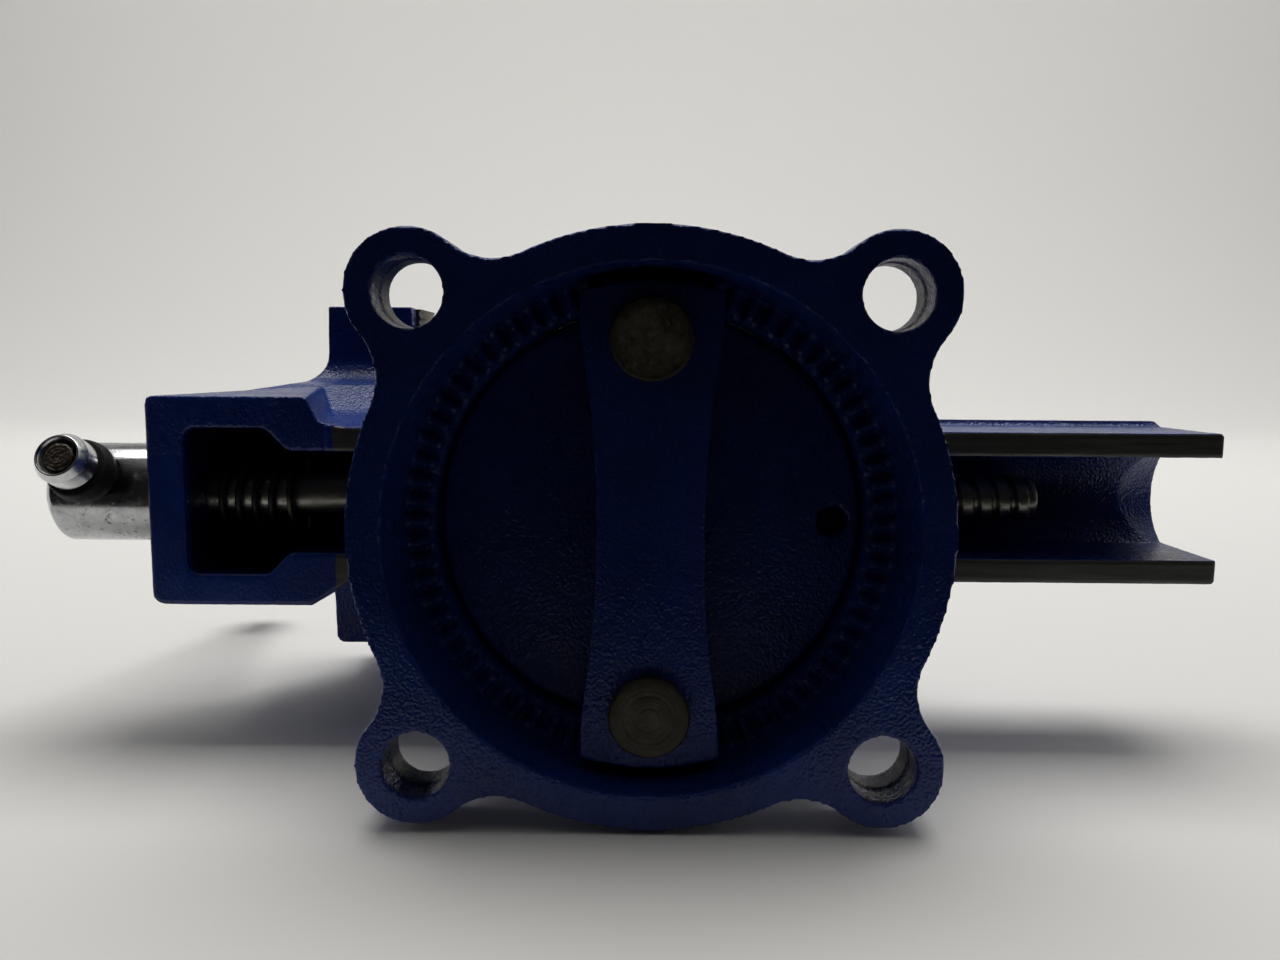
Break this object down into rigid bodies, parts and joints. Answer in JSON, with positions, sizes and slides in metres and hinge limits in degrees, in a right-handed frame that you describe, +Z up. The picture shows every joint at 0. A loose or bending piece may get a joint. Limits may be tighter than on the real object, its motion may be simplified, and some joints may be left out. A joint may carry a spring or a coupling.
{
  "type": "swivel base bench vise",
  "caption": "Cast-iron bench vise on a toothed swivel base with four bolt lugs, open-bottomed slide beam, coil-sprung screw and sliding tommy-bar handle.",
  "frame": {"origin": "bottom centre of the bounding box: on the bench plane, 8 mm in front of the swivel axis", "axes": "+Z up from the bench, +Y back along the slide beam, jaws open towards -Y"},
  "size_m": [0.128, 0.306, 0.1799],
  "materials": {
    "blue_enamel": "glossy enamel over rough sand-cast iron",
    "bare_iron": "machined, dull",
    "jaw_steel": "ground and grooved",
    "zinc_plate": "bright zinc plate over turned steel",
    "black_steel": "turned steel with a thin black oxide",
    "rubber": "matt"
  },
  "bodies": {
    "base": {"swivel_base": "blue_enamel"},
    "turntable": {"vise_body": "blue_enamel", "fixed_jaw_insert": "jaw_steel", "fixed_insert_screw_left": "black_steel", "fixed_insert_screw_right": "black_steel", "spindle_nut": "bare_iron", "spindle_nut_bolt": "black_steel", "lock_washer_left": "zinc_plate", "lock_washer_right": "zinc_plate"},
    "clamp": {"clamp_bar": "blue_enamel", "lock_bolt_left": "black_steel", "lock_bolt_right": "black_steel"},
    "lock_left": {"lock_nut_left": "zinc_plate", "lock_lever_left": "zinc_plate"},
    "lock_right": {"lock_nut_right": "zinc_plate", "lock_lever_right": "zinc_plate"},
    "slide": {"moving_jaw": "blue_enamel", "moving_jaw_insert": "jaw_steel", "moving_insert_screw_left": "black_steel", "moving_insert_screw_right": "black_steel"},
    "screw": {"spindle": "zinc_plate", "spindle_spring": "black_steel", "spindle_washer": "jaw_steel", "spindle_pin": "black_steel"},
    "handle": {"handle_bar": "zinc_plate", "handle_knob_lower": "zinc_plate", "handle_knob_upper": "zinc_plate", "handle_ring_lower": "rubber", "handle_ring_upper": "rubber"}
  },
  "joints": [
    {"name": "swivel_turn", "type": "hinge", "parent": "base", "child": "turntable", "pos_m": [0, 0.008, 0.03], "axis": [0, 0, 1], "continuous": true},
    {"name": "jaw_slide", "type": "slide", "parent": "turntable", "child": "slide", "axis": [0, -1, 0], "range_m": [-0.0055, 0.1025]},
    {"name": "screw_turn", "type": "hinge", "parent": "slide", "child": "screw", "pos_m": [0, -0.103, 0.068], "axis": [0, -1, 0], "range_deg": [-396, 7380]},
    {"name": "handle_slide", "type": "slide", "parent": "screw", "child": "handle", "axis": [0.4226, 0, -0.9063], "range_m": [0, 0.0915]},
    {"name": "lock_left_turn", "type": "hinge", "parent": "turntable", "child": "lock_left", "pos_m": [-0.041, 0.008, 0.05], "axis": [0, 0, 1], "range_deg": [0, 150]},
    {"name": "lock_right_turn", "type": "hinge", "parent": "turntable", "child": "lock_right", "pos_m": [0.041, 0.008, 0.05], "axis": [0, 0, 1], "range_deg": [0, 150]},
    {"name": "clamp_drop", "type": "slide", "parent": "turntable", "child": "clamp", "axis": [0, 0, -1], "range_m": [0, 0.0007]}
  ],
  "couplings": [
    {"joint": "screw_turn", "follows": "jaw_slide", "rad_per_m": 1256.6}
  ]
}
